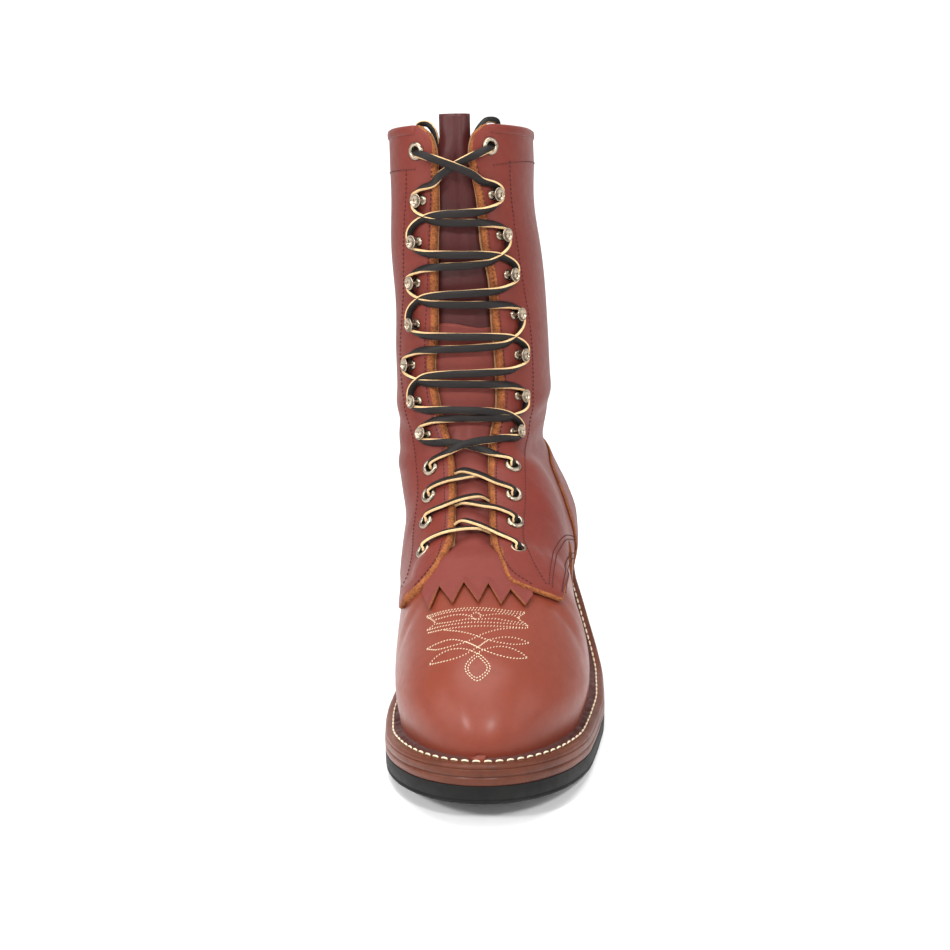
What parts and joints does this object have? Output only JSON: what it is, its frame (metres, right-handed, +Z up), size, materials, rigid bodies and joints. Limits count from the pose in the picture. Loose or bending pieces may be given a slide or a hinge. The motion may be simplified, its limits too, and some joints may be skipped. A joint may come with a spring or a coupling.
{
  "type": "packer boot",
  "caption": "Tall lace-up packer work boot in red-brown oiled leather with kiltie, speed hooks, stitched welt ledge and underslung heel, left foot",
  "frame": {"origin": "on the floor, at the centre of the heel", "axes": "+X to the outer (lateral) side of the left foot, -Y to the toe, +Z up"},
  "size_m": [0.1194, 0.3044, 0.3197],
  "materials": {
    "upper_leather": "smooth oiled red-brown leather, satin sheen",
    "kiltie_leather": "matte red leather with raw orange edges",
    "tongue_leather": "glossy burgundy leather",
    "insole_leather": "plain tan leather",
    "midsole_leather": "burnished tan-brown edge",
    "heel_leather": "stacked brown leather, burnished",
    "rubber": "black rubber, satin",
    "brassy_metal": "brushed antique brass and nickel",
    "lace_leather": "black leather lace with cut tan edges"
  },
  "bodies": {
    "root": {"midsole": "midsole_leather", "outsole": "rubber", "heel_stack": "heel_leather", "heel_lift": "rubber", "upper": "upper_leather", "counter_cover": "upper_leather", "insole": "insole_leather", "tongue": "tongue_leather", "kiltie": "kiltie_leather", "eyelet_left_1": "brassy_metal", "eyelet_left_2": "brassy_metal", "eyelet_left_3": "brassy_metal", "eyelet_left_4": "brassy_metal", "eyelet_left_5": "brassy_metal", "eyelet_right_1": "brassy_metal", "eyelet_right_2": "brassy_metal", "eyelet_right_3": "brassy_metal", "eyelet_right_4": "brassy_metal", "eyelet_right_5": "brassy_metal", "hook_left_1": "brassy_metal", "hook_left_2": "brassy_metal", "hook_left_3": "brassy_metal", "hook_left_4": "brassy_metal", "hook_left_5": "brassy_metal", "hook_left_6": "brassy_metal", "hook_left_7": "brassy_metal", "hook_right_1": "brassy_metal", "hook_right_2": "brassy_metal", "hook_right_3": "brassy_metal", "hook_right_4": "brassy_metal", "hook_right_5": "brassy_metal", "hook_right_6": "brassy_metal", "hook_right_7": "brassy_metal", "lace_cross_1": "lace_leather", "lace_cross_2": "lace_leather", "lace_cross_3": "lace_leather", "lace_cross_4": "lace_leather", "lace_cross_5": "lace_leather", "lace_cross_6": "lace_leather", "lace_cross_7": "lace_leather", "lace_cross_8": "lace_leather", "lace_cross_9": "lace_leather", "lace_cross_10": "lace_leather", "lace_cross_11": "lace_leather", "lace_end_left": "lace_leather", "lace_end_right": "lace_leather"}
  },
  "joints": []
}
